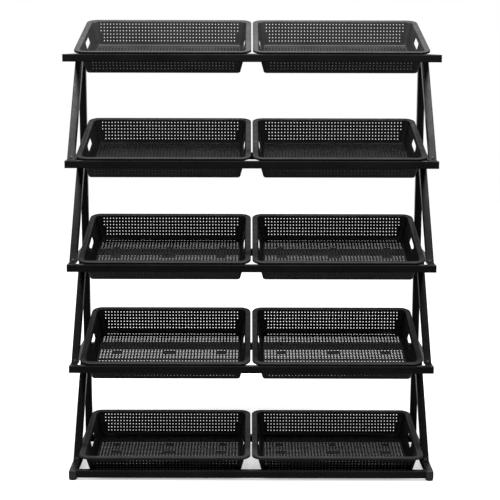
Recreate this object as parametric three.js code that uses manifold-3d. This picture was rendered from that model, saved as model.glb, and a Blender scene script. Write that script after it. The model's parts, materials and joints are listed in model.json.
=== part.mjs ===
// Five-tier display rack of square steel tube with two sloping plastic baskets on each tier.
// Millimetres, +Z up, +X to the right seen from the front, front towards -Y.
// The sizes below count y from the front faces of the upper tiers' front rails. The origin
// is set on the ground under the middle of the whole rack.
import * as THREE from "three";
import { mergeVertices } from "three/addons/utils/BufferGeometryUtils.js";
import Module from "manifold-3d";

const wasm = await Module();
wasm.setup();

// Rack frame
const rackWidth = 1000;
const tierCount = 5;
const tierSpacing = 282;
const tubeSize = 20;
const tubeWall = 1.5;
const tubeCornerRadius = 2;
const tubeCornerSteps = 2;
const upperFrameDepth = 318;
const baseOverhang = 50;
const rearRailToPost = 6;
const angleThickness = 2;

// Posts between one tier and the next
const leaningPostFootY = 25;
const leaningPostTopToRail = 28;
const footScrewHeight = 7;

// Pegs on the side members that the posts' feet fit over
const pegSize = 14;
const pegHeight = 18;
const pegRoot = 1;

// Button-headed screws
const screwHeadRadius = 4.5;
const screwHeadEdge = 1;
const screwHeadHeight = 2.4;
const screwHeadTopRadius = 2.2;
const screwShankRadius = 2.5;
const screwShankLength = 7;
const screwFacets = 8;

// End caps
const capFlange = 2;
const capBevel = 1;
const capPlugLength = 5;

// Feet
const footHeight = 8;
const footRadius = 11;
const footFlatRadius = 5.5;
const footDomeHeight = 5;
const footDomeSteps = 3;
const footStudRadius = 3;
const footStudLength = 5;
const footInset = 11;
const footFacets = 16;

// Baskets. A basket's own frame has x along its length, y from the front edge of its rim to
// the back edge, and z up from the plane of the rim.
const basketHeight = 68;
const basketWall = 2.2;
const rimWidth = 13;
const rimThickness = 2.2;
const rimCornerRadius = 30;
const wallCornerRadius = 20;
const floorCornerRadius = 16;
const bottomEdgeRadius = 7;
const endTaper = 17;
const frontTaper = 21;
const basketCornerSteps = 4;
const slotLength = 72;
const slotHeight = 17;
const slotDrop = 14;
const slotCornerRadius = 6;

// Openings in the walls and the floor. They stand for the fine perforation, with about the
// same share of the surface open.
const openingColumns = 8;
const openingPitch = 47;
const openingWidth = 22;
const wallOpeningTop = 20;
const wallOpeningBottom = 47;
const endOpeningsBesideSlot = 2;
const endOpeningPitch = 34;
const floorOpeningRows = 3;
const floorOpeningMargin = 7;
const floorOpeningGap = 12;

// Feet moulded under a basket's floor
const basketFootInset = 81;
const basketFootWidth = 24;
const basketFootLength = 34;
const basketFootDrop = 10.26;
const basketFootRailReach = 16.93;

// Where the baskets stand
const basketGap = 4;
const basketSideGap = 6;
const basketBackOverhang = 24.3;
const basketFrontY = 6;
const rimFrontLift = 6;
const baseBasketEdgeY = 3;
const baseBasketGroundGap = 0.6;

// Clearances
const seatGap = 0.3;
const cutOverrun = 5;

// Sizes and places that follow from the ones above
const halfWidth = rackWidth / 2;
const boreSize = tubeSize - 2 * tubeWall;
const baseTop = footHeight + tubeSize;
const rearPostY = upperFrameDepth - tubeSize / 2;
const rearRailY = upperFrameDepth - 2 * tubeSize - rearRailToPost;
const leaningPostRun = rearRailY - leaningPostTopToRail - leaningPostFootY;
const postLength = tierSpacing - angleThickness - 2 * seatGap;
const postX = halfWidth - angleThickness - seatGap - tubeSize / 2;
const postLean = Math.atan2(leaningPostRun, postLength);
const basketLength = halfWidth - tubeSize - basketSideGap - basketGap / 2;

// The tilt at which an upper basket has its rim on the front rail and its feet on the rear
// rail follows from where the back ends of the feet's soles lie
const soleY = rearRailY + basketFootRailReach - basketFrontY;
const soleDrop = rimFrontLift - seatGap;
const soleDepth = basketHeight + basketFootDrop;
const basketFootBack = Math.sqrt(soleY ** 2 + soleDrop ** 2 - soleDepth ** 2);
const basketTilt = Math.atan2(soleDepth, basketFootBack) - Math.atan2(soleDrop, soleY);
const tiltSine = Math.sin(basketTilt);
const tiltCosine = Math.cos(basketTilt);
const basketDepth = (upperFrameDepth + basketBackOverhang - basketFrontY) / tiltCosine;
const basketFootFront = basketFootBack - basketFootLength;
const basketFootOffset = basketLength / 2 - basketFootInset;
const rimLip = soleDrop / tiltCosine;

// A base basket stands with its rounded front bottom edge on the ground, and its floor lies
// on the front edge of the base's rear rail
const bottomEdgeY = rimWidth + frontTaper + bottomEdgeRadius;
const bottomEdgeDepth = basketHeight - bottomEdgeRadius;
const baseEdgeZ = baseBasketGroundGap + bottomEdgeRadius;
const baseSeatRun = rearRailY - baseBasketEdgeY;
const baseSeatRise = baseTop + seatGap - baseEdgeZ;
const baseSeatReach = Math.hypot(baseSeatRun, baseSeatRise);
const baseSeatSlope = Math.atan2(baseSeatRise, baseSeatRun);
const baseBasketTilt = baseSeatSlope + Math.asin(bottomEdgeRadius / baseSeatReach);

const rearmostY = basketFrontY + basketDepth * tiltCosine + rimLip * tiltSine;
const originY = (rearmostY - baseOverhang) / 2;

// How far the level sole of a basket's foot lies below the plane of the rim
function soleDropAt(y) {
  return (rimFrontLift - seatGap + y * tiltSine) / tiltCosine;
}

// Finishes
const steelPaint = { color: 0x161618, roughness: 0.38, metalness: 0.3 };
const basketPlastic = { color: 0x202021, roughness: 0.5, metalness: 0 };
const capPlastic = { color: 0x131314, roughness: 0.55, metalness: 0 };
const screwSteel = { color: 0x2a2a2c, roughness: 0.3, metalness: 0.7 };

const rack = new THREE.Group();

function addPart(name, geometry, finish, place = [0, 0, 0]) {
  const mesh = new THREE.Mesh(geometry, new THREE.MeshStandardMaterial(finish));
  mesh.name = name;
  mesh.position.set(place[0], place[1] - originY, place[2]);
  rack.add(mesh);
}

function tierTop(tier) {
  return baseTop + (tier - 1) * tierSpacing;
}

// Solid modelling helpers
function bareCopy(geometry) {
  const bare = geometry.index ? geometry.toNonIndexed() : geometry.clone();
  bare.deleteAttribute("normal");
  bare.deleteAttribute("uv");
  return bare;
}

function toSolid(geometry) {
  const merged = mergeVertices(bareCopy(geometry));
  return new wasm.Manifold(new wasm.Mesh({
    numProp: 3,
    vertProperties: new Float32Array(merged.attributes.position.array),
    triVerts: new Uint32Array(merged.index.array),
  }));
}

function toGeometry(solid) {
  const mesh = solid.getMesh();
  const geometry = new THREE.BufferGeometry();
  geometry.setAttribute("position", new THREE.BufferAttribute(new Float32Array(mesh.vertProperties), 3));
  geometry.setIndex(new THREE.BufferAttribute(new Uint32Array(mesh.triVerts), 1));
  return geometry.toNonIndexed();
}

// Rectangle with rounded corners, as points turning anticlockwise
function roundedOutline(low, high, radius, steps) {
  const corners = [
    [high[0] - radius, low[1] + radius, -Math.PI / 2],
    [high[0] - radius, high[1] - radius, 0],
    [low[0] + radius, high[1] - radius, Math.PI / 2],
    [low[0] + radius, low[1] + radius, Math.PI],
  ];
  return corners.flatMap(([x, y, start]) => Array.from({ length: steps + 1 }, (_, step) => {
    const turn = start + (step / steps) * (Math.PI / 2);
    return [x + radius * Math.cos(turn), y + radius * Math.sin(turn)];
  }));
}

function rectangle(width, height) {
  return [
    [-width / 2, -height / 2],
    [width / 2, -height / 2],
    [width / 2, height / 2],
    [-width / 2, height / 2],
  ];
}

function extrude(outline, length, hole) {
  const toPoints = (list) => list.map(([x, y]) => new THREE.Vector2(x, y));
  const shape = new THREE.Shape(toPoints(outline));
  if (hole) {
    shape.holes.push(new THREE.Path(toPoints(hole)));
  }
  return new THREE.ExtrudeGeometry(shape, { depth: length, bevelEnabled: false });
}

// Closed solid through a stack of rings with equal numbers of points, with a fan of
// triangles over the first ring and another over the last
function loft(rings) {
  const points = [];
  const count = rings[0].length;
  const mean = (ring, axis) => ring.reduce((sum, point) => sum + point[axis], 0) / count;
  const middle = (ring) => ring[0].map((_, axis) => mean(ring, axis));
  const lastRing = rings[rings.length - 1];
  const firstMiddle = middle(rings[0]);
  const lastMiddle = middle(lastRing);
  for (let here = 0; here < count; here += 1) {
    const next = (here + 1) % count;
    points.push(firstMiddle, rings[0][next], rings[0][here]);
    for (let level = 1; level < rings.length; level += 1) {
      const low = rings[level - 1];
      const high = rings[level];
      points.push(low[here], low[next], high[next], low[here], high[next], high[here]);
    }
    points.push(lastMiddle, lastRing[here], lastRing[next]);
  }
  const geometry = new THREE.BufferGeometry();
  geometry.setAttribute("position", new THREE.Float32BufferAttribute(points.flat(), 3));
  return geometry;
}

// Solid of revolution about Z through a list of radii and heights
function turned(profile, facets) {
  return loft(profile.map(([radius, height]) => Array.from({ length: facets }, (_, step) => {
    const turn = (step / facets) * 2 * Math.PI;
    return [radius * Math.cos(turn), radius * Math.sin(turn), height];
  })));
}

// Tube along +Z from the origin; depth is its level section's size front to back
function squareTube(length, depth = tubeSize) {
  const high = [tubeSize / 2, depth / 2];
  const low = high.map((value) => -value);
  const outline = roundedOutline(low, high, tubeCornerRadius, tubeCornerSteps);
  return extrude(outline, length, rectangle(boreSize, boreSize * (depth / tubeSize)));
}

// Turns what was modelled along +Z to run along +Y, its old +Y side facing down
function alongY(geometry) {
  return geometry.rotateX(-Math.PI / 2);
}

function alongX(geometry) {
  return geometry.rotateY(Math.PI / 2);
}

// Turns an outline drawn in y and z, and extruded, to run along +X
function outlineAlongX(geometry) {
  return geometry.rotateX(Math.PI / 2).rotateZ(Math.PI / 2);
}

// Moves each level slice back in proportion to its height
function leanBack(geometry) {
  const shear = new THREE.Matrix4().set(
    1, 0, 0, 0,
    0, 1, Math.tan(postLean), 0,
    0, 0, 1, 0,
    0, 0, 0, 1,
  );
  return geometry.applyMatrix4(shear);
}

function leaningPostCentreY(height) {
  return leaningPostFootY + tubeSize / Math.cos(postLean) / 2 + height * Math.tan(postLean);
}

// Moves what was modelled along +Z onto the front face of a leaning post, near its foot,
// where a screw goes through the post's wall into the peg
function atFootScrew(geometry, tier, sign) {
  const bottom = tierTop(tier) + seatGap;
  const frontFaceY = leaningPostFootY + footScrewHeight * Math.tan(postLean);
  geometry.rotateX(Math.PI / 2 - postLean);
  return geometry.translate(sign * postX, frontFaceY, bottom + footScrewHeight);
}

function screwGeometry() {
  return turned([
    [screwShankRadius, -screwShankLength],
    [screwShankRadius, seatGap],
    [screwHeadRadius, seatGap],
    [screwHeadRadius, screwHeadEdge],
    [screwHeadTopRadius, screwHeadHeight],
  ], screwFacets);
}

function drilledForFootScrew(solid, tier, sign) {
  const radius = screwShankRadius + seatGap;
  const drill = turned([[radius, -screwShankLength - seatGap], [radius, cutOverrun]], screwFacets);
  return solid.subtract(toSolid(atFootScrew(drill, tier, sign)));
}

// Rails. The upper front rails run the full width; the base's fits between its side tubes.
function addRails(tier) {
  const betweenSides = rackWidth - 2 * tubeSize - 2 * seatGap;
  const rails = tier === 1
    ? [["front", betweenSides, -baseOverhang], ["rear", betweenSides, rearRailY]]
    : [["front", rackWidth, 0], ["rear", betweenSides, rearRailY]];
  for (const [name, length, y] of rails) {
    const rail = alongX(squareTube(length).translate(0, 0, -length / 2));
    const place = [0, y + tubeSize / 2, tierTop(tier) - tubeSize / 2];
    addPart(`tier_${tier}_${name}_rail`, rail, steelPaint, place);
  }
}

// Pegs that carry the two posts standing on one side of a tier
function pegsOnSide(tier, sign) {
  const rootZ = tierTop(tier) - pegRoot;
  const height = pegHeight + pegRoot;
  const leaningPeg = leanBack(extrude(rectangle(pegSize, pegSize / Math.cos(postLean)), height));
  leaningPeg.translate(sign * postX, leaningPostCentreY(-pegRoot - seatGap), rootZ);
  const rearPeg = extrude(rectangle(pegSize, pegSize), height);
  rearPeg.translate(sign * postX, rearPostY, rootZ);
  return toSolid(leaningPeg).add(toSolid(rearPeg));
}

function sideTube(sign) {
  const start = capFlange + seatGap - baseOverhang;
  const tube = alongY(squareTube(upperFrameDepth - start));
  tube.translate(sign * (halfWidth - tubeSize / 2), start, baseTop - tubeSize / 2);
  const holeRadius = footStudRadius + seatGap;
  return footPlaces().reduce((solid, [x, y]) => {
    const hole = turned([[holeRadius, -cutOverrun], [holeRadius, cutOverrun]], footFacets);
    return solid.subtract(toSolid(hole.translate(x, y, footHeight)));
  }, toSolid(tube));
}

// Steel angle with its upright leg outside
function sideAngle(tier, sign) {
  const outer = sign * halfWidth;
  const inner = sign * (halfWidth - tubeSize);
  const legInner = sign * (halfWidth - angleThickness);
  const outline = [
    [outer, 0],
    [inner, 0],
    [inner, angleThickness],
    [legInner, angleThickness],
    [legInner, tubeSize],
    [outer, tubeSize],
  ];
  const start = tubeSize + seatGap;
  return toSolid(alongY(extrude(outline, upperFrameDepth - start)).translate(0, start, tierTop(tier)));
}

function addSideMembers(tier) {
  for (const [side, sign] of [["left", -1], ["right", 1]]) {
    let member = tier === 1 ? sideTube(sign) : sideAngle(tier, sign);
    if (tier < tierCount) {
      member = drilledForFootScrew(member.add(pegsOnSide(tier, sign)), tier, sign);
    }
    const profile = tier === 1 ? "tube" : "angle";
    addPart(`tier_${tier}_${side}_side_${profile}`, toGeometry(member), steelPaint);
  }
}

// Posts, cut level at both ends: on each side one leans back from the front of its tier to
// the rear of the tier above, and one stands upright at the rear
function addPosts(tier) {
  const bottom = tierTop(tier) + seatGap;
  for (const [side, sign] of [["left", -1], ["right", 1]]) {
    const leaning = leanBack(squareTube(postLength, tubeSize / Math.cos(postLean)));
    leaning.translate(sign * postX, leaningPostCentreY(0), bottom);
    const drilled = drilledForFootScrew(toSolid(leaning), tier, sign);
    addPart(`tier_${tier}_${side}_leaning_post`, toGeometry(drilled), steelPaint);
    addPart(`tier_${tier}_${side}_rear_post`, squareTube(postLength), steelPaint, [
      sign * postX,
      rearPostY,
      bottom,
    ]);
    addPart(`tier_${tier}_${side}_post_screw`, atFootScrew(screwGeometry(), tier, sign), screwSteel);
  }
}

// End cap facing -Y: a bevelled flange in front of the tube's mouth and a plug inside it
function endCap() {
  const ring = (inset, z) => {
    const high = tubeSize / 2 - inset;
    return roundedOutline([-high, -high], [high, high], tubeCornerRadius, tubeCornerSteps)
      .map(([x, y]) => [x, y, z]);
  };
  const flange = loft([ring(0, 0), ring(0, capFlange - capBevel), ring(capBevel, capFlange)]);
  const plugSize = boreSize - 2 * seatGap;
  const plug = extrude(rectangle(plugSize, plugSize), capPlugLength + capBevel);
  const cap = toSolid(flange).add(toSolid(plug.translate(0, 0, -capPlugLength)));
  return toGeometry(cap).rotateX(Math.PI / 2);
}

function addEndCaps() {
  for (const [side, sign] of [["left", -1], ["right", 1]]) {
    addPart(`base_${side}_tube_cap`, endCap(), capPlastic, [
      sign * (halfWidth - tubeSize / 2),
      capFlange - baseOverhang,
      baseTop - tubeSize / 2,
    ]);
  }
}

// Feet
function footPlaces() {
  return [-1, 1].flatMap((sign) => [footInset - baseOverhang, upperFrameDepth - footInset].map(
    (y) => [sign * (halfWidth - tubeSize / 2), y],
  ));
}

function footGeometry() {
  const dome = Array.from({ length: footDomeSteps + 1 }, (_, step) => {
    const turn = (step / footDomeSteps) * (Math.PI / 2);
    return [
      footFlatRadius + (footRadius - footFlatRadius) * Math.sin(turn),
      footDomeHeight * (1 - Math.cos(turn)),
    ];
  });
  return turned([
    ...dome,
    [footRadius, footHeight - seatGap],
    [footStudRadius, footHeight - seatGap],
    [footStudRadius, footHeight + footStudLength],
  ], footFacets);
}

function addFeet() {
  for (const [x, y] of footPlaces()) {
    const end = y < 0 ? "front" : "rear";
    const side = x < 0 ? "left" : "right";
    addPart(`${end}_${side}_foot`, footGeometry(), capPlastic, [x, y, 0]);
  }
}

// Baskets
// One level of the shell: how far in from the rim's edge at the ends and at the front and
// back, the corner radius, the share of the basket's height below the rim, and a lift above it
function basketRing(endInset, frontInset, radius, heightShare, lift) {
  const low = [endInset - basketLength / 2, frontInset];
  const high = [basketLength / 2 - endInset, basketDepth - frontInset];
  return roundedOutline(low, high, radius, basketCornerSteps).map(
    ([x, y]) => [x, y, lift - heightShare * basketHeight],
  );
}

function rimRing(inset, drop) {
  return basketRing(inset, inset, rimCornerRadius - inset, 0, -drop);
}

function wallRing(inset, heightShare, lift) {
  return basketRing(
    rimWidth + endTaper * heightShare + inset,
    rimWidth + frontTaper * heightShare + inset,
    wallCornerRadius + (floorCornerRadius - wallCornerRadius) * heightShare - inset,
    heightShare,
    lift,
  );
}

function basketShell() {
  const edgeShare = bottomEdgeRadius / basketHeight;
  const roundIn = bottomEdgeRadius * (1 - Math.SQRT1_2);
  const roundShare = 1 - edgeShare * (1 - Math.SQRT1_2);
  return loft([
    wallRing(bottomEdgeRadius, 1, 0),
    wallRing(roundIn, roundShare, 0),
    wallRing(0, 1 - edgeShare, 0),
    wallRing(0, 0, -rimThickness),
    rimRing(rimThickness, rimThickness),
    rimRing(rimThickness, rimLip),
    rimRing(0, rimLip),
    rimRing(0, 0),
    wallRing(basketWall, 0, 0),
    wallRing(basketWall, 1 - edgeShare, 0),
    wallRing(basketWall + roundIn, roundShare, basketWall / 2),
    wallRing(basketWall + bottomEdgeRadius, 1, basketWall),
  ]);
}

function handSlotCutter() {
  const length = basketLength + 2 * cutOverrun;
  const low = [(basketDepth - slotLength) / 2, -slotDrop - slotHeight];
  const high = [(basketDepth + slotLength) / 2, -slotDrop];
  const cutter = extrude(roundedOutline(low, high, slotCornerRadius, tubeCornerSteps), length);
  return outlineAlongX(cutter.translate(0, 0, -length / 2));
}

// A foot under the floor, its sole level when the basket stands on an upper tier
function basketFoot(x) {
  const top = basketWall / 2 - basketHeight;
  const outline = [
    [basketFootFront, -soleDropAt(basketFootFront)],
    [basketFootBack, -soleDropAt(basketFootBack)],
    [basketFootBack, top],
    [basketFootFront, top],
  ];
  const foot = extrude(outline, basketFootWidth);
  return outlineAlongX(foot.translate(0, 0, x - basketFootWidth / 2));
}

// Box between two corners, to cut an opening with
function cutterBox(low, high) {
  const size = high.map((value, axis) => value - low[axis]);
  const middle = high.map((value, axis) => (value + low[axis]) / 2);
  return toSolid(new THREE.BoxGeometry(...size).translate(...middle));
}

// Boxes that go through the front and the back wall, in a row along x
function longWallCutters(columns) {
  return columns.map((x) => cutterBox(
    [x - openingWidth / 2, -cutOverrun, -wallOpeningBottom],
    [x + openingWidth / 2, basketDepth + cutOverrun, -wallOpeningTop],
  ));
}

// Boxes that go through both ends, in front of the hand slots and behind them
function endWallCutters() {
  const reach = basketLength / 2 + cutOverrun;
  return [-1, 1].flatMap((sign) => Array.from({ length: endOpeningsBesideSlot }, (_, step) => {
    const fromMiddle = slotLength / 2 + (step + 1) * endOpeningPitch - openingWidth / 2;
    const y = basketDepth / 2 + sign * fromMiddle;
    return cutterBox(
      [-reach, y - openingWidth / 2, -wallOpeningBottom],
      [reach, y + openingWidth / 2, -wallOpeningTop],
    );
  }));
}

// Boxes that go through the floor: rows in front of the feet, and one row behind them
function floorCutters(columns) {
  const front = bottomEdgeY + floorOpeningMargin;
  const rowPitch = (basketFootFront - front) / floorOpeningRows;
  const rows = Array.from({ length: floorOpeningRows }, (_, row) => {
    const start = front + row * rowPitch;
    return [start, start + rowPitch - floorOpeningGap];
  });
  rows.push([basketFootBack + floorOpeningMargin, basketDepth - bottomEdgeY - floorOpeningMargin]);
  return rows.flatMap(([start, end]) => columns.map((x) => cutterBox(
    [x - openingWidth / 2, start, -basketHeight - cutOverrun],
    [x + openingWidth / 2, end, cutOverrun - basketHeight],
  )));
}

function basketGeometry() {
  const columns = Array.from(
    { length: openingColumns },
    (_, column) => (column - (openingColumns - 1) / 2) * openingPitch,
  );
  const cutters = [
    toSolid(handSlotCutter()),
    ...longWallCutters(columns),
    ...endWallCutters(),
    ...floorCutters(columns),
  ];
  const shell = cutters.reduce((solid, cutter) => solid.subtract(cutter), toSolid(basketShell()));
  const feet = [-basketFootOffset, 0, basketFootOffset];
  return toGeometry(feet.reduce((solid, x) => solid.add(toSolid(basketFoot(x))), shell));
}

// Where the front edge of a basket's rim stands on a tier, as y and z
function rimFrontPlace(tier) {
  if (tier > 1) {
    return [basketFrontY, tierTop(tier) + rimFrontLift];
  }
  const sine = Math.sin(baseBasketTilt);
  const cosine = Math.cos(baseBasketTilt);
  return [
    baseBasketEdgeY - bottomEdgeY * cosine - bottomEdgeDepth * sine,
    baseEdgeZ - bottomEdgeY * sine + bottomEdgeDepth * cosine,
  ];
}

function addBaskets(tier) {
  const tilt = tier > 1 ? basketTilt : baseBasketTilt;
  for (const [side, sign] of [["left", -1], ["right", 1]]) {
    const x = sign * (basketLength + basketGap) / 2;
    const place = [x, ...rimFrontPlace(tier)];
    addPart(`tier_${tier}_${side}_basket`, basketGeometry().rotateX(tilt), basketPlastic, place);
  }
}

for (let tier = 1; tier <= tierCount; tier += 1) {
  addRails(tier);
  addSideMembers(tier);
  addBaskets(tier);
  if (tier < tierCount) {
    addPosts(tier);
  }
}
addEndCaps();
addFeet();

export default rack;
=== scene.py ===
import json
import math

import bmesh
import bpy
from mathutils import Matrix, Vector


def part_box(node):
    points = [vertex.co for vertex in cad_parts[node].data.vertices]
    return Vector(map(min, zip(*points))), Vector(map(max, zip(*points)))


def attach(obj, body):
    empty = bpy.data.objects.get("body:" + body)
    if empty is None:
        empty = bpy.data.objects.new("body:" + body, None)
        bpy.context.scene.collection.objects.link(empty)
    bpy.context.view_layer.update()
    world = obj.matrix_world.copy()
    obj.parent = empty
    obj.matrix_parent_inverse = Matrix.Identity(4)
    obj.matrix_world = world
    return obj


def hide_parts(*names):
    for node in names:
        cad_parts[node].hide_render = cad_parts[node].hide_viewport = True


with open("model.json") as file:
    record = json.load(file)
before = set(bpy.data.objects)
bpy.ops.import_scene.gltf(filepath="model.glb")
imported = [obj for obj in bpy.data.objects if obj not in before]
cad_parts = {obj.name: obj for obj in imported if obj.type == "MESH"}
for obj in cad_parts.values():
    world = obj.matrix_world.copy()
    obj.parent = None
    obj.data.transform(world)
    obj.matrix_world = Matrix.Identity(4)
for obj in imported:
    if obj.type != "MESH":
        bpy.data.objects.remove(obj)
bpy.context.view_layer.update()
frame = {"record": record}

# Display rack: perforated baskets, end caps, screws, feet and welds on the frame from CAD
FRAME_BODY = "rack_frame"
TIERS = range(1, 6)
SIDES = (("left", -1), ("right", 1))

# Lengths are in millimetres, apart from those of materials, floor, lights and camera
MM = 0.001

# Edges that bend by more than this look sharp
SHARP_ANGLE = math.radians(32)

# Directions from a rectangle's middle to its corners, anticlockwise
QUARTERS = ((1, 1), (-1, 1), (-1, -1), (1, -1))

# Basket. Its own frame has x along its length, y from the front edge of its rim to the back
# edge, and z up from the plane of the rim.
BASKET_LENGTH = 472
BASKET_DEPTH = 348
BASKET_HEIGHT = 68
BASKET_HALF = BASKET_LENGTH / 2
BASKET_MIDDLE = BASKET_DEPTH / 2
SHELL = 1.5
RIM_WIDTH = 13
RIM_LIP = 5.9
RIM_RADIUS = 30
WALL_RADIUS = 18
FLOOR_RADIUS = 8
END_TAPER = 17
FRONT_TAPER = 21
CORNER_STEPS = 8
UPPER_TILT = math.radians(14.9)
BASE_TILT = math.radians(5.887)

# Square holes in a lattice. The floor has two rows without holes, and three bare pads.
HOLE_PITCH = 9.15
WALL_HOLE = 2.5
FLOOR_HOLE = 4.3
LONG_COLUMNS = 44
END_COLUMNS = 30
WALL_ROWS = 6
FLOOR_ROWS = 29
FIRST_ROW_DROP = 8.6
ROW_DROP = 8.98
PLAIN_ROWS = (11, 27)
PAD_ROWS = (15, 16)
PAD_OFFSET = 155
PAD_REACH = 14
PITCH_TOLERANCE = 0.01

# Rounded edge between walls and floor. The limit keeps the offset of sharp corners short.
EDGE_RADIUS = 4.4
EDGE_STEPS = 4
CORNER_LIMIT = 0.75

# Hand slots in the ends, each with a collar that stands out behind it
SLOT_LENGTH = 77
SLOT_HEIGHT = 19.4
SLOT_DROP = 12.9
SLOT_RADIUS = 7
SLOT_STEPS = 6
SLOT_MIDDLE = (BASKET_MIDDLE, -SLOT_DROP - SLOT_HEIGHT / 2)
SLOT_FIRST_COLUMN = 10
SLOT_LAST_COLUMN = 19
SLOT_ROWS = 4
COLLAR_DEPTH = 2.6

# Feet under the basket's floor, with soles that are level on an upper tier. The insets are
# how far each level's sides lie inside the foot's root.
BASKET_FOOT_OFFSET = 155
BASKET_FOOT_WIDTH = 24
BASKET_FOOT_FRONT = 246
BASKET_FOOT_BACK = 256
SOLE_EDGE_HEIGHT = 1.4
SOLE_EDGE_INSET = 0.84
SOLE_INSET = 2.28
RIM_LIFT = 5.7

# Profile of the rim's top side, from the lip's lower edge inwards: distance in from the
# rim's outer edge, and drop below the rim's plane
RIM_PROFILE = (
    (0, RIM_LIP), (0, 3.6), (0, 1.7), (0.5, 0.55), (1.7, 0), (3.3, 0),
    (4.1, 0.35), (4.9, 1.0), (8.5, 1.0), (12.4, 1.0), (14.4, 1.6),
)

# Share of the walls' depth at which their top ring lies
WALL_TOP_SHARE = 0.05

# Fittings, with the frame's sizes that they follow
TUBE = 20
TUBE_CORNER = 2
SEAT_GAP = 0.3
ANGLE_HEIGHT = 20
POST_RUN = 219
POST_LENGTH = 279.4
POST_LEAN = math.atan2(POST_RUN, POST_LENGTH)

# End caps: the halves of their plug and face, and their edges' softening
CAP_CORNER_STEPS = 4
RAIL_CAP_THICKNESS = 1.0
TUBE_CAP_THICKNESS = 2.0
PLUG_HALF = 8.2
PLUG_LENGTH = 5
PLUG_CORNER = 0.4
PLUG_LEAD = 0.6
PLUG_LEAD_LENGTH = 0.8
CAP_BACK_EDGE = 0.1
CAP_EDGE_SHARE = 0.45
CAP_BEND_SHARE = 0.3
CAP_CROWN = 0.05
CAP_CROWN_INSET = 3.5

# Screws, with profiles from the shank's end to the socket's mouth: radius, and height above
# the face that the screw holds. The socket narrows a little and ends in a drill's cone.
SCREW_FACETS = 32
POST_SCREW_HEIGHT = 7
BUTTON_HEAD_PROFILE = (
    (2.5, -7), (2.5, 0.3), (4.2, 0.3), (4.5, 0.5), (4.5, 0.95), (4.3, 1.4), (3.9, 1.85),
    (3.3, 2.2), (2.6, 2.38),
)
FLAT_HEAD_PROFILE = (
    (2.4, -3), (2.4, 0), (4.6, 0), (4.6, 0.2), (4.2, 0.55), (3.4, 0.8), (2.5, 0.9),
)
SOCKET_RADIUS = 1.7
SOCKET_BOTTOM_SHARE = 0.97
SOCKET_DRILL_SHARE = 0.3
SOCKET_DRILL_DEPTH_SHARE = 1.25
BUTTON_SOCKET_DEPTH = 1.3
FLAT_SOCKET_DEPTH = 0.8

# Domed feet, with a profile from the sole to the top of the stud: radius and height
FOOT_FACETS = 48
FOOT_PROFILE = (
    (5.2, 0.15), (5.5, 0), (7.6, 0.1), (9.2, 0.75), (10.3, 1.9), (10.85, 3.4), (11, 4.6),
    (11, 5.2), (10.7, 5.45), (10.7, 5.8), (11, 6.05), (11, 7.3), (10.6, 7.7), (3, 7.7), (3, 13),
)

# Weld beads
BEAD_RADIUS = 1.9
BEAD_FACETS = 12
BEAD_RIPPLES = 9
RIPPLE_STEPS = 6
RIPPLE_SHARE = 0.16
BEAD_END_POWER = 8
BEAD_END_LEAST = 0.12
CROSS_BEAD_LENGTH = 16
RAIL_BEAD_LENGTH = 17.5
BEAD_DROP = 2
CROSS_BEAD_INSET = 11

# Materials: the range that most of a noise lies in, the part of it that shows worn steel, and
# the sockets of the colour mix node that share their names with those of its other kinds
NOISE_RANGE = (0.3, 0.7)
WORN_RANGE = (0.45, 0.7)
GRAIN_SCALE = 1100
MIX_DARK = 6
MIX_LIGHT = 7
MIX_RESULT = 2

# Floor, lights and camera, in metres, watts and radians, with the camera's sensor and lens in
# millimetres. An open share is how much of its surroundings a spot on the floor sees.
FLOOR_HALF = 6
FLOOR_COLOUR = (0.4, 0.4, 0.4, 1)
FLOOR_ROUGHNESS = 0.9
FLOOR_GLOSS = 0.1
WHITE = (1, 1, 1, 1)
FADE_DISTANCES = (0.45, 1.3)
FADE_GLOW = (0.82, 1.0)
# Painted shade on the floor: how far it looks for pieces, and how much of its glow it keeps
SHADE_REACH = 0.12
SOFT_OPEN_SHARE = (0.0, 0.7)
SOFT_GLOW = (0.88, 1.0)
DEEP_OPEN_SHARE = (0.0, 0.13)
DEEP_GLOW = (0.2, 1.0)
AMBIENT = 0.06
CAMERA_SENSOR = 36
CAMERA_LENS = 91.97
CAMERA_PLACE = (-0.00444, -3.5531, 1.18328)
CAMERA_PITCH = 0.15996
CAMERA_ROLL = 0.0021

# Name, place, target, size and power of each light
LIGHTS = (
    ("key", (0, -0.36, 2.6), (0, -0.05, 0.9), (2.0, 0.4), 220),
    ("rear", (0, 1.7, 3.0), (0, 0.15, 0.6), (2.0, 0.5), 15),
)


# Baskets
def run_positions(count, centre):
    half = count * HOLE_PITCH / 2
    return [centre - half + HOLE_PITCH * step for step in range(count + 1)]


LONG_RUN = run_positions(LONG_COLUMNS, 0)
END_RUN = run_positions(END_COLUMNS, BASKET_MIDDLE)


def squeezed(run, low, high):
    """Run positions, with those past the straight part of a wall spread evenly over its ends."""
    inside = [value for value in run if low < value < high]
    before = sum(value <= low for value in run)
    after = sum(value >= high for value in run)
    first = [low + (inside[0] - low) * (step + 1) / (before + 1) for step in range(before)]
    last = [inside[-1] + (high - inside[-1]) * (step + 1) / (after + 1) for step in range(after)]
    return first + inside + last


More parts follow.
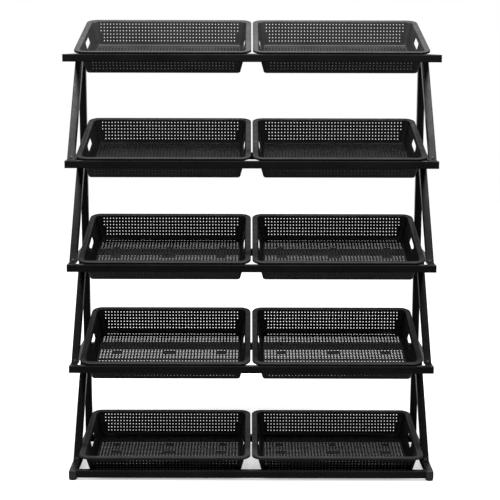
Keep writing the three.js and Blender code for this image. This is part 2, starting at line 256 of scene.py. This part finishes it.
def plan_ring(end_inset, front_inset, radius, height_share, lift):
    """One level of the basket as points turning anticlockwise from the front left."""
    low = (end_inset - BASKET_HALF, front_inset)
    high = (BASKET_HALF - end_inset, BASKET_DEPTH - front_inset)
    long_run = squeezed(LONG_RUN, low[0] + radius, high[0] - radius)
    end_run = squeezed(END_RUN, low[1] + radius, high[1] - radius)

    def corner(x, y, start):
        turns = [start + step / CORNER_STEPS * math.pi / 2 for step in range(CORNER_STEPS + 1)]
        return [(x + radius * math.cos(turn), y + radius * math.sin(turn)) for turn in turns]

    plan = [(x, low[1]) for x in long_run]
    plan += corner(high[0] - radius, low[1] + radius, -math.pi / 2)
    plan += [(high[0], y) for y in end_run]
    plan += corner(high[0] - radius, high[1] - radius, 0)
    plan += [(x, high[1]) for x in reversed(long_run)]
    plan += corner(low[0] + radius, high[1] - radius, math.pi / 2)
    plan += [(low[0], y) for y in reversed(end_run)]
    plan += corner(low[0] + radius, low[1] + radius, math.pi)
    return [(x, y, lift - height_share * BASKET_HEIGHT) for x, y in plan]


def rim_ring(inset, drop):
    return plan_ring(inset, inset, RIM_RADIUS - inset, 0, -drop)


def wall_ring(inset, share, lift=0):
    radius = WALL_RADIUS + (FLOOR_RADIUS - WALL_RADIUS) * share - inset
    return plan_ring(
        RIM_WIDTH + END_TAPER * share + inset,
        RIM_WIDTH + FRONT_TAPER * share + inset,
        radius, share, lift,
    )


def row_share(row):
    """Depth share of the middle of a row of wall holes."""
    return (FIRST_ROW_DROP + ROW_DROP * row) / BASKET_HEIGHT


def wall_point(side, along, share):
    """Point on the inner face of one wall: along is x on the long walls and y on the ends."""
    if side in ("front", "back"):
        inset = RIM_WIDTH + SHELL + FRONT_TAPER * share
        y = inset if side == "front" else BASKET_DEPTH - inset
        return (along, y, -share * BASKET_HEIGHT)
    x = BASKET_HALF - RIM_WIDTH - SHELL - END_TAPER * share
    return (x if side == "right" else -x, along, -share * BASKET_HEIGHT)


def add_hole_cell(bm, corners, hole):
    """Four faces between a cell's corners and the corners of the hole in it."""
    inner = [bm.verts.new(point) for point in hole]
    for here in range(4):
        after = (here + 1) % 4
        bm.faces.new((corners[here], corners[after], inner[after], inner[here]))


def stitch(bm, outer, inner, centre, axes):
    """Triangles between two rings of vertices that both turn anticlockwise about centre."""
    def turn_of(vert):
        return math.atan2(vert.co[axes[1]] - centre[1], vert.co[axes[0]] - centre[0])

    def sorted_ring(ring):
        start = min(range(len(ring)), key=lambda index: turn_of(ring[index]))
        ordered = ring[start:] + ring[:start]
        turns = [turn_of(vert) for vert in ordered]
        return ordered + ordered[:1], turns + [turns[0] + 2 * math.pi]

    outer_ring, outer_turns = sorted_ring(outer)
    inner_ring, inner_turns = sorted_ring(inner)
    at_outer = 0
    at_inner = 0
    while at_outer < len(outer) or at_inner < len(inner):
        outer_next = outer_turns[at_outer + 1] if at_outer < len(outer) else math.inf
        inner_next = inner_turns[at_inner + 1] if at_inner < len(inner) else math.inf
        if outer_next <= inner_next:
            bm.faces.new((outer_ring[at_outer], outer_ring[at_outer + 1], inner_ring[at_inner]))
            at_outer += 1
        else:
            bm.faces.new((outer_ring[at_outer], inner_ring[at_inner + 1], inner_ring[at_inner]))
            at_inner += 1


def rounded_outline(middle, half, radius, steps):
    """Rectangle with round corners, turning anticlockwise from the end of its right side."""
    points = []
    for quarter, (right, up) in enumerate(QUARTERS):
        for step in range(steps + 1):
            turn = (quarter + step / steps) * math.pi / 2
            points.append((
                middle[0] + right * (half[0] - radius) + radius * math.cos(turn),
                middle[1] + up * (half[1] - radius) + radius * math.sin(turn),
            ))
    return points


def bridge(bm, first, second):
    """Faces between two rings of vertices that turn the same way."""
    for here in range(len(first)):
        after = (here + 1) % len(first)
        bm.faces.new((first[here], first[after], second[after], second[here]))


def add_slot(bm, side, border):
    """Plain plate with a collared hand slot, filling the border ring of lattice vertices."""
    out = 1 if side == "right" else -1
    half = (SLOT_LENGTH / 2, SLOT_HEIGHT / 2)
    outline = rounded_outline(SLOT_MIDDLE, half, SLOT_RADIUS, SLOT_STEPS)

    def level(outward):
        ring = []
        for y, z in outline:
            x, _, _ = wall_point(side, y, -z / BASKET_HEIGHT)
            ring.append(bm.verts.new((x + out * outward, y, z)))
        return ring

    edge = level(0)
    lip = level(COLLAR_DEPTH)
    stitch(bm, border, edge, SLOT_MIDDLE, (1, 2))
    bridge(bm, edge, lip)


def wall_levels():
    """Rings from the lip's lower edge to the floor, and the index of the first hole row."""
    levels = [rim_ring(inset, drop) for inset, drop in RIM_PROFILE]
    levels.append(wall_ring(SHELL, WALL_TOP_SHARE))
    first_row = len(levels)
    half_row = ROW_DROP / 2 / BASKET_HEIGHT
    levels += [wall_ring(SHELL, row_share(row) - half_row) for row in range(WALL_ROWS + 1)]
    inner_radius = EDGE_RADIUS - SHELL
    for step in range(EDGE_STEPS + 1):
        turn = step / EDGE_STEPS * math.pi / 2
        inset = EDGE_RADIUS - inner_radius * math.cos(turn)
        share = 1 - EDGE_RADIUS * (1 - math.sin(turn)) / BASKET_HEIGHT
        levels.append(wall_ring(inset, share, SHELL * math.sin(turn)))
    return levels, first_row


def wall_cell_spans():
    """The ring index of each wall's first cell, and the wall's count of cells."""
    arc = CORNER_STEPS + 1
    front = 0
    right = front + LONG_COLUMNS + 1 + arc
    back = right + END_COLUMNS + 1 + arc
    left = back + LONG_COLUMNS + 1 + arc
    return {
        "front": (front, LONG_COLUMNS), "right": (right, END_COLUMNS),
        "back": (back, LONG_COLUMNS), "left": (left, END_COLUMNS),
    }


def hole_along(side, column):
    """The two edges of a wall hole along its wall, in the order that the ring runs."""
    run = LONG_RUN if side in ("front", "back") else END_RUN
    if side in ("back", "left"):
        run = run[::-1]
    middle = (run[column] + run[column + 1]) / 2
    half = math.copysign(WALL_HOLE / 2, run[1] - run[0])
    return middle - half, middle + half


def is_slot_cell(side, row, column):
    return (side in ("left", "right") and row < SLOT_ROWS
            and SLOT_FIRST_COLUMN <= column <= SLOT_LAST_COLUMN)


def is_full_cell(side, column, corners):
    """Whether all of a cell's corners are at their full pitch from its middle."""
    axis = 0 if side in ("front", "back") else 1
    middle = sum(hole_along(side, column)) / 2
    return all(abs(abs(vert.co[axis] - middle) - HOLE_PITCH / 2) < PITCH_TOLERANCE for vert in corners)


def slot_border(grid, top, start):
    """Ring of lattice vertices round the plate of a hand slot."""
    low = start + SLOT_FIRST_COLUMN
    high = start + SLOT_LAST_COLUMN + 1
    bottom = top + SLOT_ROWS
    border = [grid[top][index] for index in range(low, high)]
    border += [grid[level][high] for level in range(top, bottom)]
    border += [grid[bottom][index] for index in range(high, low, -1)]
    border += [grid[level][low] for level in range(bottom, top, -1)]
    return border


def add_walls(bm):
    """Rim and walls as an open surface. Returns the ring at the floor's edge."""
    levels, first_row = wall_levels()
    grid = [[bm.verts.new(point) for point in level] for level in levels]
    spans = wall_cell_spans()
    cells = {}
    for side, (start, count) in spans.items():
        for column in range(count):
            cells[start + column] = (side, column)
    half_hole = WALL_HOLE / 2 / BASKET_HEIGHT
    ring_size = len(grid[0])
    for level in range(len(grid) - 1):
        row = level - first_row
        for here in range(ring_size):
            after = (here + 1) % ring_size
            corners = (grid[level][here], grid[level + 1][here],
                       grid[level + 1][after], grid[level][after])
            side, column = cells.get(here, (None, None))
            if side and 0 <= row < WALL_ROWS:
                if is_slot_cell(side, row, column):
                    continue
                if is_full_cell(side, column, corners):
                    first, second = hole_along(side, column)
                    top = row_share(row) - half_hole
                    bottom = row_share(row) + half_hole
                    add_hole_cell(bm, corners, (
                        wall_point(side, first, top), wall_point(side, first, bottom),
                        wall_point(side, second, bottom), wall_point(side, second, top),
                    ))
                    continue
            bm.faces.new(corners)
    for side in ("left", "right"):
        border = slot_border(grid, first_row, spans[side][0])
        if side == "right":
            border.reverse()
        add_slot(bm, side, border)
    return grid[-1]


def is_plain_floor(row, column, x):
    """Whether a floor cell has no hole: the corners, two plain rows and the three pads."""
    if row in (0, FLOOR_ROWS - 1) and column in (0, LONG_COLUMNS - 1):
        return True
    near_pad = min(abs(x - middle) for middle in (-PAD_OFFSET, 0, PAD_OFFSET)) < PAD_REACH
    return row in PLAIN_ROWS or (row in PAD_ROWS and near_pad)


def add_floor(bm, wall_foot):
    """Perforated floor, stitched to the ring of vertices at the foot of the walls."""
    columns = LONG_RUN
    rows = run_positions(FLOOR_ROWS, BASKET_MIDDLE)

    def on_floor(x, y):
        return (x, y, SHELL - BASKET_HEIGHT)

    grid = [[bm.verts.new(on_floor(x, y)) for x in columns] for y in rows]
    half = FLOOR_HOLE / 2
    for row in range(FLOOR_ROWS):
        for column in range(LONG_COLUMNS):
            corners = (grid[row][column], grid[row][column + 1],
                       grid[row + 1][column + 1], grid[row + 1][column])
            x = (columns[column] + columns[column + 1]) / 2
            if is_plain_floor(row, column, x):
                bm.faces.new(corners)
                continue
            y = (rows[row] + rows[row + 1]) / 2
            add_hole_cell(bm, corners, (
                on_floor(x - half, y - half), on_floor(x + half, y - half),
                on_floor(x + half, y + half), on_floor(x - half, y + half),
            ))
    border = list(grid[0][:-1])
    border += [line[-1] for line in grid[:-1]]
    border += grid[-1][:0:-1]
    border += [line[0] for line in grid[:0:-1]]
    stitch(bm, wall_foot, border, (0, BASKET_MIDDLE), (0, 1))


def add_basket_foot(bm, middle):
    """Moulded foot with drafted sides and a sole that is level at the upper tilt."""
    half = BASKET_FOOT_WIDTH / 2

    def sole_height(y):
        return -(RIM_LIFT + y * math.sin(UPPER_TILT)) / math.cos(UPPER_TILT)

    def ring(inset, height_of):
        x = (middle - half + inset, middle + half - inset)
        y = (BASKET_FOOT_FRONT + inset, BASKET_FOOT_BACK - inset)
        plan = ((x[0], y[0]), (x[1], y[0]), (x[1], y[1]), (x[0], y[1]))
        return [bm.verts.new((*point, height_of(point[1]))) for point in plan]

    root = ring(0, lambda y: SHELL / 2 - BASKET_HEIGHT)
    edge = ring(SOLE_EDGE_INSET, lambda y: SOLE_EDGE_HEIGHT + sole_height(y))
    sole = ring(SOLE_INSET, sole_height)
    bridge(bm, edge, root)
    bridge(bm, sole, edge)
    bm.faces.new(root)
    bm.faces.new(sole[::-1])


def mark_sharp_edges(bm):
    for face in bm.faces:
        face.smooth = True
    for edge in bm.edges:
        if len(edge.link_faces) != 2 or edge.calc_face_angle() > SHARP_ANGLE:
            edge.smooth = False


def finished_mesh(name, bm):
    """Mesh in metres from a bmesh in millimetres."""
    bmesh.ops.scale(bm, vec=(MM, MM, MM), verts=bm.verts)
    mark_sharp_edges(bm)
    mesh = bpy.data.meshes.new(name)
    bm.to_mesh(mesh)
    bm.free()
    return mesh


def thicken(bm):
    """Gives an open surface the shell's thickness on the side away from its normals."""
    faces = list(bm.faces)
    open_edges = [edge for edge in bm.edges if len(edge.link_faces) == 1]
    below = {}
    for vert in list(bm.verts):
        least = min(vert.normal.dot(face.normal) for face in vert.link_faces)
        reach = SHELL / max(least, CORNER_LIMIT)
        below[vert] = bm.verts.new(vert.co - vert.normal * reach)
    for face in faces:
        bm.faces.new([below[vert] for vert in reversed(face.verts)])
    for edge in open_edges:
        loop = edge.link_loops[0]
        first = loop.vert
        second = loop.link_loop_next.vert
        bm.faces.new((second, first, below[first], below[second]))


def basket_mesh():
    surface = bmesh.new()
    add_floor(surface, add_walls(surface))
    spare = [vert for vert in surface.verts if not vert.link_faces]
    bmesh.ops.delete(surface, geom=spare, context="VERTS")
    bmesh.ops.recalc_face_normals(surface, faces=surface.faces)
    surface.normal_update()
    floor_middle = Vector((0, BASKET_MIDDLE, SHELL - BASKET_HEIGHT))
    floor_face = min(
        surface.faces, key=lambda face: (face.calc_center_median() - floor_middle).length)
    if floor_face.normal.z < 0:
        bmesh.ops.reverse_faces(surface, faces=surface.faces)
    surface.normal_update()
    thicken(surface)
    for middle in (-BASKET_FOOT_OFFSET, 0, BASKET_FOOT_OFFSET):
        add_basket_foot(surface, middle)
    return finished_mesh("basket", surface)


# Materials
def node_material(name):
    """Material, its node tree, its shader, and the object's own coordinates."""
    material = bpy.data.materials.new(name)
    material.use_nodes = True
    tree = material.node_tree
    shader = tree.nodes["Principled BSDF"]
    coordinates = tree.nodes.new("ShaderNodeTexCoord")
    return material, tree, shader, coordinates.outputs["Object"]


def noise(tree, vector, scale, detail, stretch=None):
    texture = tree.nodes.new("ShaderNodeTexNoise")
    texture.inputs["Scale"].default_value = scale
    texture.inputs["Detail"].default_value = detail
    if stretch:
        mapping = tree.nodes.new("ShaderNodeMapping")
        mapping.inputs["Scale"].default_value = stretch
        tree.links.new(vector, mapping.inputs["Vector"])
        vector = mapping.outputs["Vector"]
    tree.links.new(vector, texture.inputs["Vector"])
    return texture.outputs["Fac"]


def spread(tree, value, low, high, source=NOISE_RANGE):
    """Value mapped from the source's range to the one from low to high."""
    remap = tree.nodes.new("ShaderNodeMapRange")
    remap.inputs["From Min"].default_value = source[0]
    remap.inputs["From Max"].default_value = source[1]
    remap.inputs["To Min"].default_value = low
    remap.inputs["To Max"].default_value = high
    tree.links.new(value, remap.inputs["Value"])
    return remap.outputs["Result"]


def colour_between(tree, value, dark, light):
    mix = tree.nodes.new("ShaderNodeMix")
    mix.data_type = "RGBA"
    mix.inputs[MIX_DARK].default_value = (*dark, 1)
    mix.inputs[MIX_LIGHT].default_value = (*light, 1)
    tree.links.new(value, mix.inputs["Factor"])
    return mix.outputs[MIX_RESULT]


def bump(tree, height, strength, distance, below=None):
    """Bumped normal, on top of the normal below where one is given."""
    node = tree.nodes.new("ShaderNodeBump")
    node.inputs["Strength"].default_value = strength
    node.inputs["Distance"].default_value = distance
    tree.links.new(height, node.inputs["Height"])
    if below:
        tree.links.new(below, node.inputs["Normal"])
    return node.outputs["Normal"]


def set_finish(tree, shader, colour, roughness, normal, gloss, metal=0):
    tree.links.new(colour, shader.inputs["Base Color"])
    tree.links.new(roughness, shader.inputs["Roughness"])
    tree.links.new(normal, shader.inputs["Normal"])
    shader.inputs["Specular IOR Level"].default_value = gloss
    shader.inputs["Metallic"].default_value = metal


def powder_coat():
    """Semi-gloss black powder coat: orange peel and fine grit, with an uneven tone and gloss."""
    material, tree, shader, place = node_material("black_powder_coat")
    tone = spread(tree, noise(tree, place, scale=9, detail=4), low=0, high=1)
    colour = colour_between(tree, tone, dark=(0.003, 0.003, 0.0032), light=(0.006, 0.006, 0.0062))
    roughness = spread(tree, noise(tree, place, scale=45, detail=4), low=0.25, high=0.34)
    peel = bump(tree, noise(tree, place, scale=420, detail=2), strength=0.12, distance=0.0004)
    grains = noise(tree, place, scale=1900, detail=2)
    grit = bump(tree, grains, strength=0.08, distance=0.0001, below=peel)
    set_finish(tree, shader, colour, roughness, grit, gloss=0.04)
    return material


def basket_plastic():
    """Satin black moulded plastic with a fine grain and faint scuffs."""
    material, tree, shader, place = node_material("black_moulded_plastic")
    tone = spread(tree, noise(tree, place, scale=14, detail=4), low=0, high=1)
    colour = colour_between(tree, tone, dark=(0.0065, 0.0065, 0.0068), light=(0.012, 0.012, 0.0123))
    scuffs = noise(tree, place, scale=30, detail=5, stretch=(0.35, 3.0, 1.5))
    roughness = spread(tree, scuffs, low=0.38, high=0.56)
    cells = tree.nodes.new("ShaderNodeTexVoronoi")
    cells.inputs["Scale"].default_value = GRAIN_SCALE
    tree.links.new(place, cells.inputs["Vector"])
    waves = bump(tree, noise(tree, place, scale=70, detail=2), strength=0.1, distance=0.0006)
    grain = bump(tree, cells.outputs["Distance"], strength=0.18, distance=0.00015, below=waves)
    set_finish(tree, shader, colour, roughness, grain, gloss=0.08)
    return material


def trim_plastic():
    """Matte black plastic of the caps and feet."""
    material, tree, shader, place = node_material("matte_black_plastic")
    tone = spread(tree, noise(tree, place, scale=60, detail=4), low=0, high=1)
    colour = colour_between(tree, tone, dark=(0.01, 0.01, 0.011), light=(0.022, 0.022, 0.023))
    roughness = spread(tree, noise(tree, place, scale=160, detail=3), low=0.48, high=0.64)
    grain = bump(tree, noise(tree, place, scale=1500, detail=2), strength=0.2, distance=0.0001)
    set_finish(tree, shader, colour, roughness, grain, gloss=0.15)
    return material


def screw_steel():
    """Blackened steel with worn spots."""
    material, tree, shader, place = node_material("blackened_steel")
    spots = noise(tree, place, scale=700, detail=4)
    tone = spread(tree, spots, low=0, high=1, source=WORN_RANGE)
    colour = colour_between(tree, tone, dark=(0.01, 0.01, 0.0105), light=(0.035, 0.035, 0.036))
    roughness = spread(tree, noise(tree, place, scale=900, detail=3), low=0.38, high=0.52)
    grain = bump(tree, noise(tree, place, scale=2600, detail=2), strength=0.15, distance=0.00005)
    set_finish(tree, shader, colour, roughness, grain, gloss=0.2, metal=0.6)
    return material


MATERIALS = {
    "steel_paint": powder_coat(),
    "basket_plastic": basket_plastic(),
    "trim_plastic": trim_plastic(),
    "screw_steel": screw_steel(),
}


def give_material(piece, slot):
    piece.data.materials.clear()
    piece.data.materials.append(MATERIALS[slot])


def add_piece(name, mesh, slot, body, *replaced):
    piece = bpy.data.objects.new(name, mesh)
    bpy.context.scene.collection.objects.link(piece)
    if not mesh.materials:
        mesh.materials.append(MATERIALS[slot])
    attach(piece, body)
    if replaced:
        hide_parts(*replaced)
    return piece


# The CAD nodes get the materials of their slots
for row in frame["record"]["subparts"]:
    node = bpy.data.objects.get(row["node"])
    if node is not None:
        give_material(node, row["material_slot"])


def add_baskets():
    """Baskets with their front rims low, each set by its node's box."""
    base_mesh = basket_mesh()
    upper_mesh = base_mesh.copy()
    base_mesh.transform(Matrix.Rotation(BASE_TILT, 4, "X"))
    upper_mesh.transform(Matrix.Rotation(UPPER_TILT, 4, "X"))
    for tier in TIERS:
        mesh, tilt = (base_mesh, BASE_TILT) if tier == 1 else (upper_mesh, UPPER_TILT)
        for side, _ in SIDES:
            node = f"tier_{tier}_{side}_basket"
            low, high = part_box(node)
            basket = add_piece(f"{node}_perforated", mesh, "basket_plastic", node, node)
            x = (low[0] + high[0]) / 2
            z = high[2] - BASKET_DEPTH * MM * math.sin(tilt)
            basket.matrix_world = Matrix.Translation((x, low[1], z))


# Fittings
def new_ring(bm, plan, z):
    return [bm.verts.new((x, y, z)) for x, y in plan]


def circle(radius, facets):
    turns = [step / facets * 2 * math.pi for step in range(facets)]
    return [(radius * math.cos(turn), radius * math.sin(turn)) for turn in turns]


def hexagon(radius, facets):
    """Hexagon round a circle of the given radius, with as many points as a ring has."""
    points = []
    for x, y in circle(1, facets):
        from_flat = (math.atan2(y, x) + math.pi / 6) % (math.pi / 3) - math.pi / 6
        reach = radius / math.cos(from_flat)
        points.append((x * reach, y * reach))
    return points


def loft(bm, rings):
    """Closed body through rings, capped at the first and the last."""
    for low, high in zip(rings, rings[1:]):
        bridge(bm, low, high)
    bm.faces.new(rings[0][::-1])
    bm.faces.new(rings[-1])


def socket_screw_mesh(name, profile, depth):
    """Turned screw with a hexagon socket in its head."""
    bm = bmesh.new()
    rings = [new_ring(bm, circle(radius, SCREW_FACETS), z) for radius, z in profile]
    top = profile[-1][1]
    mouth = hexagon(SOCKET_RADIUS, SCREW_FACETS)
    bottom = hexagon(SOCKET_RADIUS * SOCKET_BOTTOM_SHARE, SCREW_FACETS)
    drill = circle(SOCKET_RADIUS * SOCKET_DRILL_SHARE, SCREW_FACETS)
    rings.append(new_ring(bm, mouth, top))
    rings.append(new_ring(bm, bottom, top - depth))
    rings.append(new_ring(bm, drill, top - depth * SOCKET_DRILL_DEPTH_SHARE))
    loft(bm, rings)
    return finished_mesh(name, bm)


def foot_mesh():
    bm = bmesh.new()
    loft(bm, [new_ring(bm, circle(radius, FOOT_FACETS), z) for radius, z in FOOT_PROFILE])
    return finished_mesh("foot", bm)


def cap_mesh(name, thickness):
    """Square cap with a plug at its back and a softened edge round its face."""
    half = TUBE / 2
    edge = thickness * CAP_EDGE_SHARE
    bend = edge * CAP_BEND_SHARE
    levels = (
        (PLUG_HALF - PLUG_LEAD, PLUG_CORNER, -PLUG_LENGTH),
        (PLUG_HALF, PLUG_CORNER, -PLUG_LENGTH + PLUG_LEAD_LENGTH),
        (PLUG_HALF, PLUG_CORNER, 0),
        (half - CAP_BACK_EDGE, TUBE_CORNER, 0),
        (half, TUBE_CORNER, CAP_BACK_EDGE),
        (half, TUBE_CORNER, thickness - edge),
        (half - bend, TUBE_CORNER, thickness - bend),
        (half - edge, TUBE_CORNER, thickness - CAP_CROWN),
        (half - CAP_CROWN_INSET, TUBE_CORNER, thickness),
    )
    bm = bmesh.new()
    loft(bm, [
        new_ring(bm, rounded_outline((0, 0), (size, size), radius, CAP_CORNER_STEPS), z)
        for size, radius, z in levels
    ])
    return finished_mesh(name, bm)


def bead_mesh(name, length):
    """Weld bead along +Z: a low rippled ridge with rounded ends."""
    bm = bmesh.new()
    steps = BEAD_RIPPLES * RIPPLE_STEPS
    rings = []
    for step in range(steps + 1):
        share = step / steps
        ripple = 1 - RIPPLE_SHARE * (share * BEAD_RIPPLES % 1)
        end = math.sqrt(max(BEAD_END_LEAST, 1 - abs(2 * share - 1) ** BEAD_END_POWER))
        radius = BEAD_RADIUS * ripple * end
        rings.append(new_ring(bm, circle(radius, BEAD_FACETS), (share - 1 / 2) * length))
    loft(bm, rings)
    return finished_mesh(name, bm)


def place_piece(piece, place, turn):
    piece.matrix_world = Matrix.Translation([value * MM for value in place]) @ turn


def box_mm(node):
    low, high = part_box(node)
    return [value / MM for value in low], [value / MM for value in high]


def middle_of(node):
    low, high = box_mm(node)
    return [(first + last) / 2 for first, last in zip(low, high)]


def facing_x(sign):
    return Matrix.Rotation(sign * math.pi / 2, 4, "Y")


def add_caps():
    rail_cap = cap_mesh("rail_cap", RAIL_CAP_THICKNESS)
    tube_cap = cap_mesh("tube_cap", TUBE_CAP_THICKNESS)
    for side, sign in SIDES:
        for tier in TIERS[1:]:
            rail = f"tier_{tier}_front_rail"
            cap = add_piece(f"tier_{tier}_{side}_front_rail_cap", rail_cap, "trim_plastic", FRAME_BODY)
            _, high = box_mm(rail)
            _, y, z = middle_of(rail)
            place_piece(cap, (sign * high[0], y, z), facing_x(sign))
        tube = f"tier_1_{side}_side_tube"
        cap = add_piece(f"base_{side}_tube_rear_cap", tube_cap, "trim_plastic", FRAME_BODY)
        _, high = box_mm(tube)
        place = (middle_of(tube)[0], high[1], middle_of("tier_1_front_rail")[2])
        place_piece(cap, place, Matrix.Rotation(-math.pi / 2, 4, "X"))


def add_screws():
    """A screw in each leaning post's foot, and one in the top of every post."""
    button_head = socket_screw_mesh("button_head_screw", BUTTON_HEAD_PROFILE, BUTTON_SOCKET_DEPTH)
    flat_head = socket_screw_mesh("flat_head_screw", FLAT_HEAD_PROFILE, FLAT_SOCKET_DEPTH)
    lean = math.tan(POST_LEAN)
    post_depth = TUBE / math.cos(POST_LEAN)
    outer_face = box_mm("tier_2_right_side_angle")[1][0]
    for tier in TIERS[:-1]:
        for side, sign in SIDES:
            leaning_post = f"tier_{tier}_{side}_leaning_post"
            low, high = box_mm(leaning_post)
            node = f"tier_{tier}_{side}_post_screw"
            screw = add_piece(f"{node}_head", button_head, "screw_steel", FRAME_BODY, node)
            place = (middle_of(leaning_post)[0], low[1] + POST_SCREW_HEIGHT * lean,
                     low[2] + POST_SCREW_HEIGHT)
            place_piece(screw, place, Matrix.Rotation(math.pi / 2 - POST_LEAN, 4, "X"))
            top = high[2] - ANGLE_HEIGHT / 2
            leaning_y = high[1] - post_depth / 2 - ANGLE_HEIGHT / 2 * lean
            rear_y = middle_of(f"tier_{tier}_{side}_rear_post")[1]
            for post, y in (("leaning", leaning_y), ("rear", rear_y)):
                name = f"tier_{tier + 1}_{side}_{post}_post_top_screw"
                top_screw = add_piece(name, flat_head, "screw_steel", FRAME_BODY)
                place_piece(top_screw, (sign * outer_face, y, top), facing_x(sign))


def add_feet():
    mesh = foot_mesh()
    for end in ("front", "rear"):
        for side, _ in SIDES:
            node = f"{end}_{side}_foot"
            foot = add_piece(f"{node}_domed", mesh, "trim_plastic", FRAME_BODY, node)
            x, y, _ = middle_of(node)
            place_piece(foot, (x, y, 0), Matrix())


def add_beads():
    """Welds where the rails meet the side members."""
    cross_bead = bead_mesh("cross_bead", CROSS_BEAD_LENGTH)
    rail_bead = bead_mesh("rail_bead", RAIL_BEAD_LENGTH)

    def add_bead(name, mesh, place, turn):
        place_piece(add_piece(name, mesh, "steel_paint", FRAME_BODY), place, turn)

    for side, sign in SIDES:
        for tier in TIERS:
            _, front_high = box_mm(f"tier_{tier}_front_rail")
            rear_low, rear_high = box_mm(f"tier_{tier}_rear_rail")
            _, middle, centre = middle_of(f"tier_{tier}_rear_rail")
            end = sign * (rear_high[0] + SEAT_GAP / 2)
            if tier > 1:
                inside = sign * (front_high[0] - CROSS_BEAD_INSET)
                behind = front_high[1] + SEAT_GAP / 2
                under = front_high[2] - BEAD_DROP
                add_bead(f"tier_{tier}_{side}_front_weld", cross_bead, (inside, behind, under),
                         Matrix.Rotation(math.pi / 2, 4, "Y"))
                add_bead(f"tier_{tier}_{side}_rear_weld", rail_bead, (end, middle, under),
                         Matrix.Rotation(math.pi / 2, 4, "X"))
                continue
            for spot, y in (("front", front_high[1]), ("rear", rear_low[1]), ("back", rear_high[1])):
                add_bead(f"base_{side}_{spot}_weld", rail_bead, (end, y, centre), Matrix())


add_baskets()
add_caps()
add_screws()
add_feet()
add_beads()


# Floor, lights and camera
def combined(tree, operation, first, second):
    node = tree.nodes.new("ShaderNodeMath")
    node.operation = operation
    tree.links.new(first, node.inputs[0])
    tree.links.new(second, node.inputs[1])
    return node.outputs["Value"]


def add_floor_plane():
    """Pale floor that glows to the camera, more so further out, with painted shade where pieces are
    near.
    """
    mesh = bpy.data.meshes.new("floor")
    corners = [(x * FLOOR_HALF, y * FLOOR_HALF, 0) for x, y in ((-1, -1), (1, -1), (1, 1), (-1, 1))]
    mesh.from_pydata(corners, [], [(0, 1, 2, 3)])
    floor = bpy.data.objects.new("floor", mesh)
    bpy.context.scene.collection.objects.link(floor)
    material, tree, shader, place = node_material("pale_floor")
    shader.inputs["Base Color"].default_value = FLOOR_COLOUR
    shader.inputs["Roughness"].default_value = FLOOR_ROUGHNESS
    shader.inputs["Specular IOR Level"].default_value = FLOOR_GLOSS
    shader.inputs["Emission Color"].default_value = WHITE
    path = tree.nodes.new("ShaderNodeLightPath")
    distance = tree.nodes.new("ShaderNodeVectorMath")
    distance.operation = "LENGTH"
    tree.links.new(place, distance.inputs[0])
    # Painted contact shadow: the glow is darkened where pieces close in a spot of the floor
    nearness = tree.nodes.new("ShaderNodeAmbientOcclusion")
    nearness.inputs["Distance"].default_value = SHADE_REACH
    open_share = nearness.outputs["AO"]
    fade = spread(tree, distance.outputs["Value"], *FADE_GLOW, FADE_DISTANCES)
    soft_shade = spread(tree, open_share, *SOFT_GLOW, SOFT_OPEN_SHARE)
    deep_shade = spread(tree, open_share, *DEEP_GLOW, DEEP_OPEN_SHARE)
    shade = combined(tree, "MULTIPLY", soft_shade, deep_shade)
    glow = combined(tree, "MULTIPLY", fade, shade)
    seen_glow = combined(tree, "MULTIPLY", glow, path.outputs["Is Camera Ray"])
    tree.links.new(seen_glow, shader.inputs["Emission Strength"])
    mesh.materials.append(material)


def add_area_light(name, place, target, size, energy):
    light = bpy.data.lights.new(name, "AREA")
    light.shape = "RECTANGLE"
    light.size, light.size_y = size
    light.energy = energy
    lamp = bpy.data.objects.new(name, light)
    lamp.location = place
    lamp.rotation_euler = (Vector(target) - Vector(place)).to_track_quat("-Z", "Y").to_euler()
    bpy.context.scene.collection.objects.link(lamp)


def set_world(ambient):
    """White to the camera and in reflections, and a weak light everywhere else."""
    world = bpy.data.worlds.new("studio")
    bpy.context.scene.world = world
    world.use_nodes = True
    tree = world.node_tree
    background = tree.nodes["Background"]
    background.inputs["Color"].default_value = WHITE
    path = tree.nodes.new("ShaderNodeLightPath")
    seen = path.outputs["Is Camera Ray"]
    for ray in ("Is Glossy Ray", "Is Transmission Ray"):
        seen = combined(tree, "MAXIMUM", seen, path.outputs[ray])
    strength = spread(tree, seen, ambient, 1, (0, 1))
    tree.links.new(strength, background.inputs["Strength"])


def add_camera():
    camera_data = bpy.data.cameras.new("camera")
    camera_data.sensor_width = CAMERA_SENSOR
    camera_data.lens = CAMERA_LENS
    camera = bpy.data.objects.new("camera", camera_data)
    pitch = Matrix.Rotation(math.pi / 2 - CAMERA_PITCH, 4, "X")
    roll = Matrix.Rotation(CAMERA_ROLL, 4, "Z")
    camera.matrix_world = Matrix.Translation(CAMERA_PLACE) @ pitch @ roll
    bpy.context.scene.collection.objects.link(camera)
    bpy.context.scene.camera = camera


bpy.context.scene.view_settings.view_transform = "Standard"
add_floor_plane()
set_world(AMBIENT)
for light_settings in LIGHTS:
    add_area_light(*light_settings)
add_camera()
